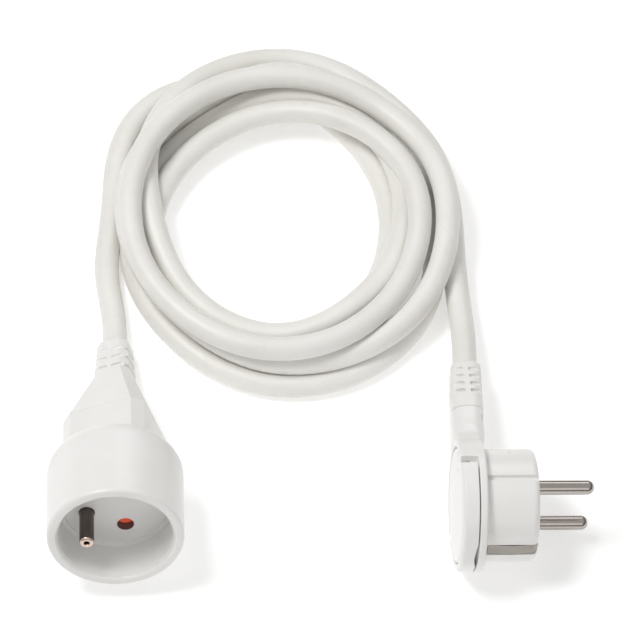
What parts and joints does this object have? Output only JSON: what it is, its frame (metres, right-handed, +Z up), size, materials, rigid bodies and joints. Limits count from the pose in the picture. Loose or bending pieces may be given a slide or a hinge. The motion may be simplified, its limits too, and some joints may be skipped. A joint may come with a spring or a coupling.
{
  "type": "extension cord",
  "caption": "Coiled white extension cord with a round coupler socket, safety shutter, and a flat-head plug with a fold-out pull handle.",
  "frame": {"origin": "on the floor, under the middle of the box round the coupler and the plug", "axes": "+Z up from the floor, +X from the coupler towards the plug's pins, +Y from the openings towards the coiled cord"},
  "size_m": [0.1794, 0.2097, 0.0506],
  "materials": {
    "housing": "white moulded plastic, soft gloss",
    "relief": "white flexible plastic, satin",
    "insert": "pale grey moulded plastic",
    "inner_plastic": "pale moulded plastic",
    "shutter": "red moulded plastic",
    "steel": "bright steel",
    "brass": "pressed brass",
    "plated": "nickel-plated brass",
    "cord": "white flexible sheath, satin",
    "core_brown": "brown insulation",
    "core_blue": "blue insulation",
    "core_earth": "green and yellow insulation"
  },
  "bodies": {
    "root": {"socket_housing": "housing", "socket_strain_relief": "relief", "recess_insert": "insert", "contact_carrier": "inner_plastic", "shutter_pivot": "steel", "shutter_spring": "steel", "socket_contact_1": "brass", "socket_contact_2": "brass", "socket_earth_pin": "plated", "socket_core_brown": "core_brown", "socket_core_blue": "core_blue", "socket_core_earth": "core_earth", "socket_sheath_end": "cord", "plug_body": "housing", "plug_head": "housing", "plug_back_cover": "housing", "plug_strain_relief": "relief", "pin_bridge": "inner_plastic", "plug_pin_upper": "plated", "plug_pin_lower": "plated", "earth_clip_neck_side": "plated", "earth_clip_handle_side": "plated", "plug_earth_sleeve": "brass", "plug_core_brown": "core_brown", "plug_core_blue": "core_blue", "plug_core_earth": "core_earth", "plug_sheath_end": "cord", "handle_pivot_upper": "steel", "handle_pivot_lower": "steel", "cord_coil": "cord", "cord_socket_lead": "cord", "cord_plug_lead": "cord"},
    "handle": {"pull_handle": "housing"},
    "shutter": {"safety_shutter": "shutter"}
  },
  "joints": [
    {"name": "handle_fold", "type": "hinge", "parent": "root", "child": "handle", "pos_m": [0.04713, -0.02382, 0.02212], "axis": [-0.0746, -0.1654, -0.9834], "range_deg": [0, 100]},
    {"name": "shutter_turn", "type": "hinge", "parent": "root", "child": "shutter", "pos_m": [-0.06702, -0.02222, 0.02437], "axis": [-0.0286, 0.9632, -0.2672], "range_deg": [0, 38], "stiffness_Nm_per_rad": 0.002}
  ]
}
